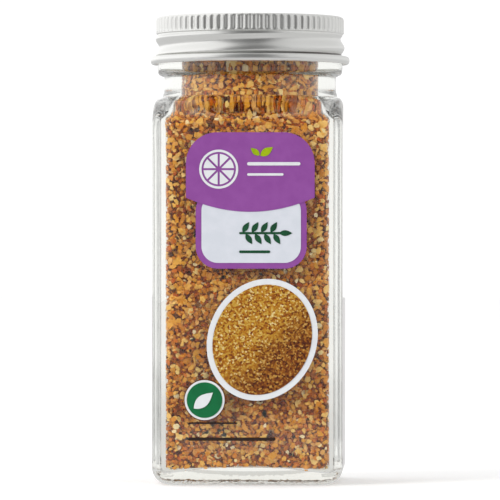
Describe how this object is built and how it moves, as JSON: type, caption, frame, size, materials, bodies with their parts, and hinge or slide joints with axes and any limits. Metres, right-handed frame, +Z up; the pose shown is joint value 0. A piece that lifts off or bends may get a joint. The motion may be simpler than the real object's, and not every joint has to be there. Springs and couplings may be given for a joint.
{
  "type": "jar of dried orange peel",
  "caption": "Square clear glass spice jar with a knurled aluminium screw cap and a printed clear label, filled with granulated dried orange peel.",
  "frame": {"origin": "centre of the base, on the surface that the jar stands on", "axes": "+Z up along the jar, the label faces -Y, +X to the right of someone who looks at the label"},
  "size_m": [0.0458, 0.0458, 0.1067],
  "materials": {
    "clear_glass": "smooth clear flint glass",
    "cap_aluminium": "satin rolled sheet",
    "dried_peel": "dry matt granules of mixed golden, tan, pale and brown",
    "label_film": "clear gloss film",
    "purple_ink": "smooth print",
    "pale_ink": "smooth print",
    "white_ink": "smooth print",
    "gold_ink": "smooth print with a fine speckle",
    "green_ink": "smooth print"
  },
  "bodies": {
    "root": {"jar_glass": "clear_glass", "screw_cap": "cap_aluminium", "peel_heap": "dried_peel", "label_film": "label_film", "print_border": "purple_ink", "print_panel": "pale_ink", "print_header": "purple_ink", "print_dish": "white_ink", "print_dish_peel": "gold_ink", "print_disc_rim": "white_ink", "print_disc": "green_ink"}
  },
  "joints": []
}
